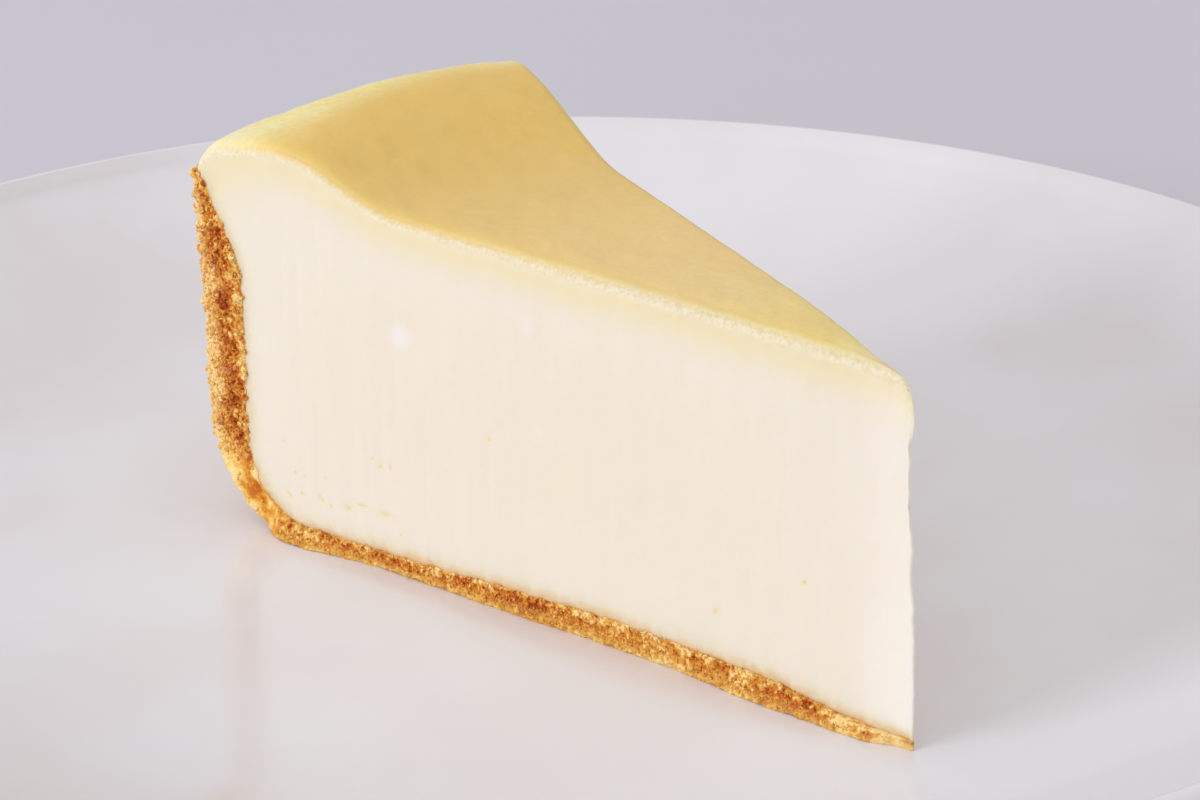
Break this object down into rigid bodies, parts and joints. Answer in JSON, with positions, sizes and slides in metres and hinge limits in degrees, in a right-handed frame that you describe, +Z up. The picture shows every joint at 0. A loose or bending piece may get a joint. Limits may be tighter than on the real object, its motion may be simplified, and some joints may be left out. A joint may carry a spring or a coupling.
{
  "type": "cheesecake slice on plate",
  "caption": "Wedge of baked cheesecake with a golden top and a pressed crumb crust under it and up its back, standing on a plain white round coupe plate with a flat well and a foot ring.",
  "frame": {"origin": "middle of the plate's foot ring, on the table", "axes": "+Z up; +X along the slice's centreline, from its crusted back towards its tip; the plate is round about +Z"},
  "size_m": [0.2638, 0.2638, 0.0647],
  "materials": {
    "plate": "glossy white glaze, the foot ring's underside unglazed",
    "crust": "dry golden brown crumbs pressed together",
    "filling": "smooth moist cream, golden leathery skin on top"
  },
  "bodies": {
    "root": {"plate": "plate", "crust": "crust", "filling": "filling"}
  },
  "joints": []
}
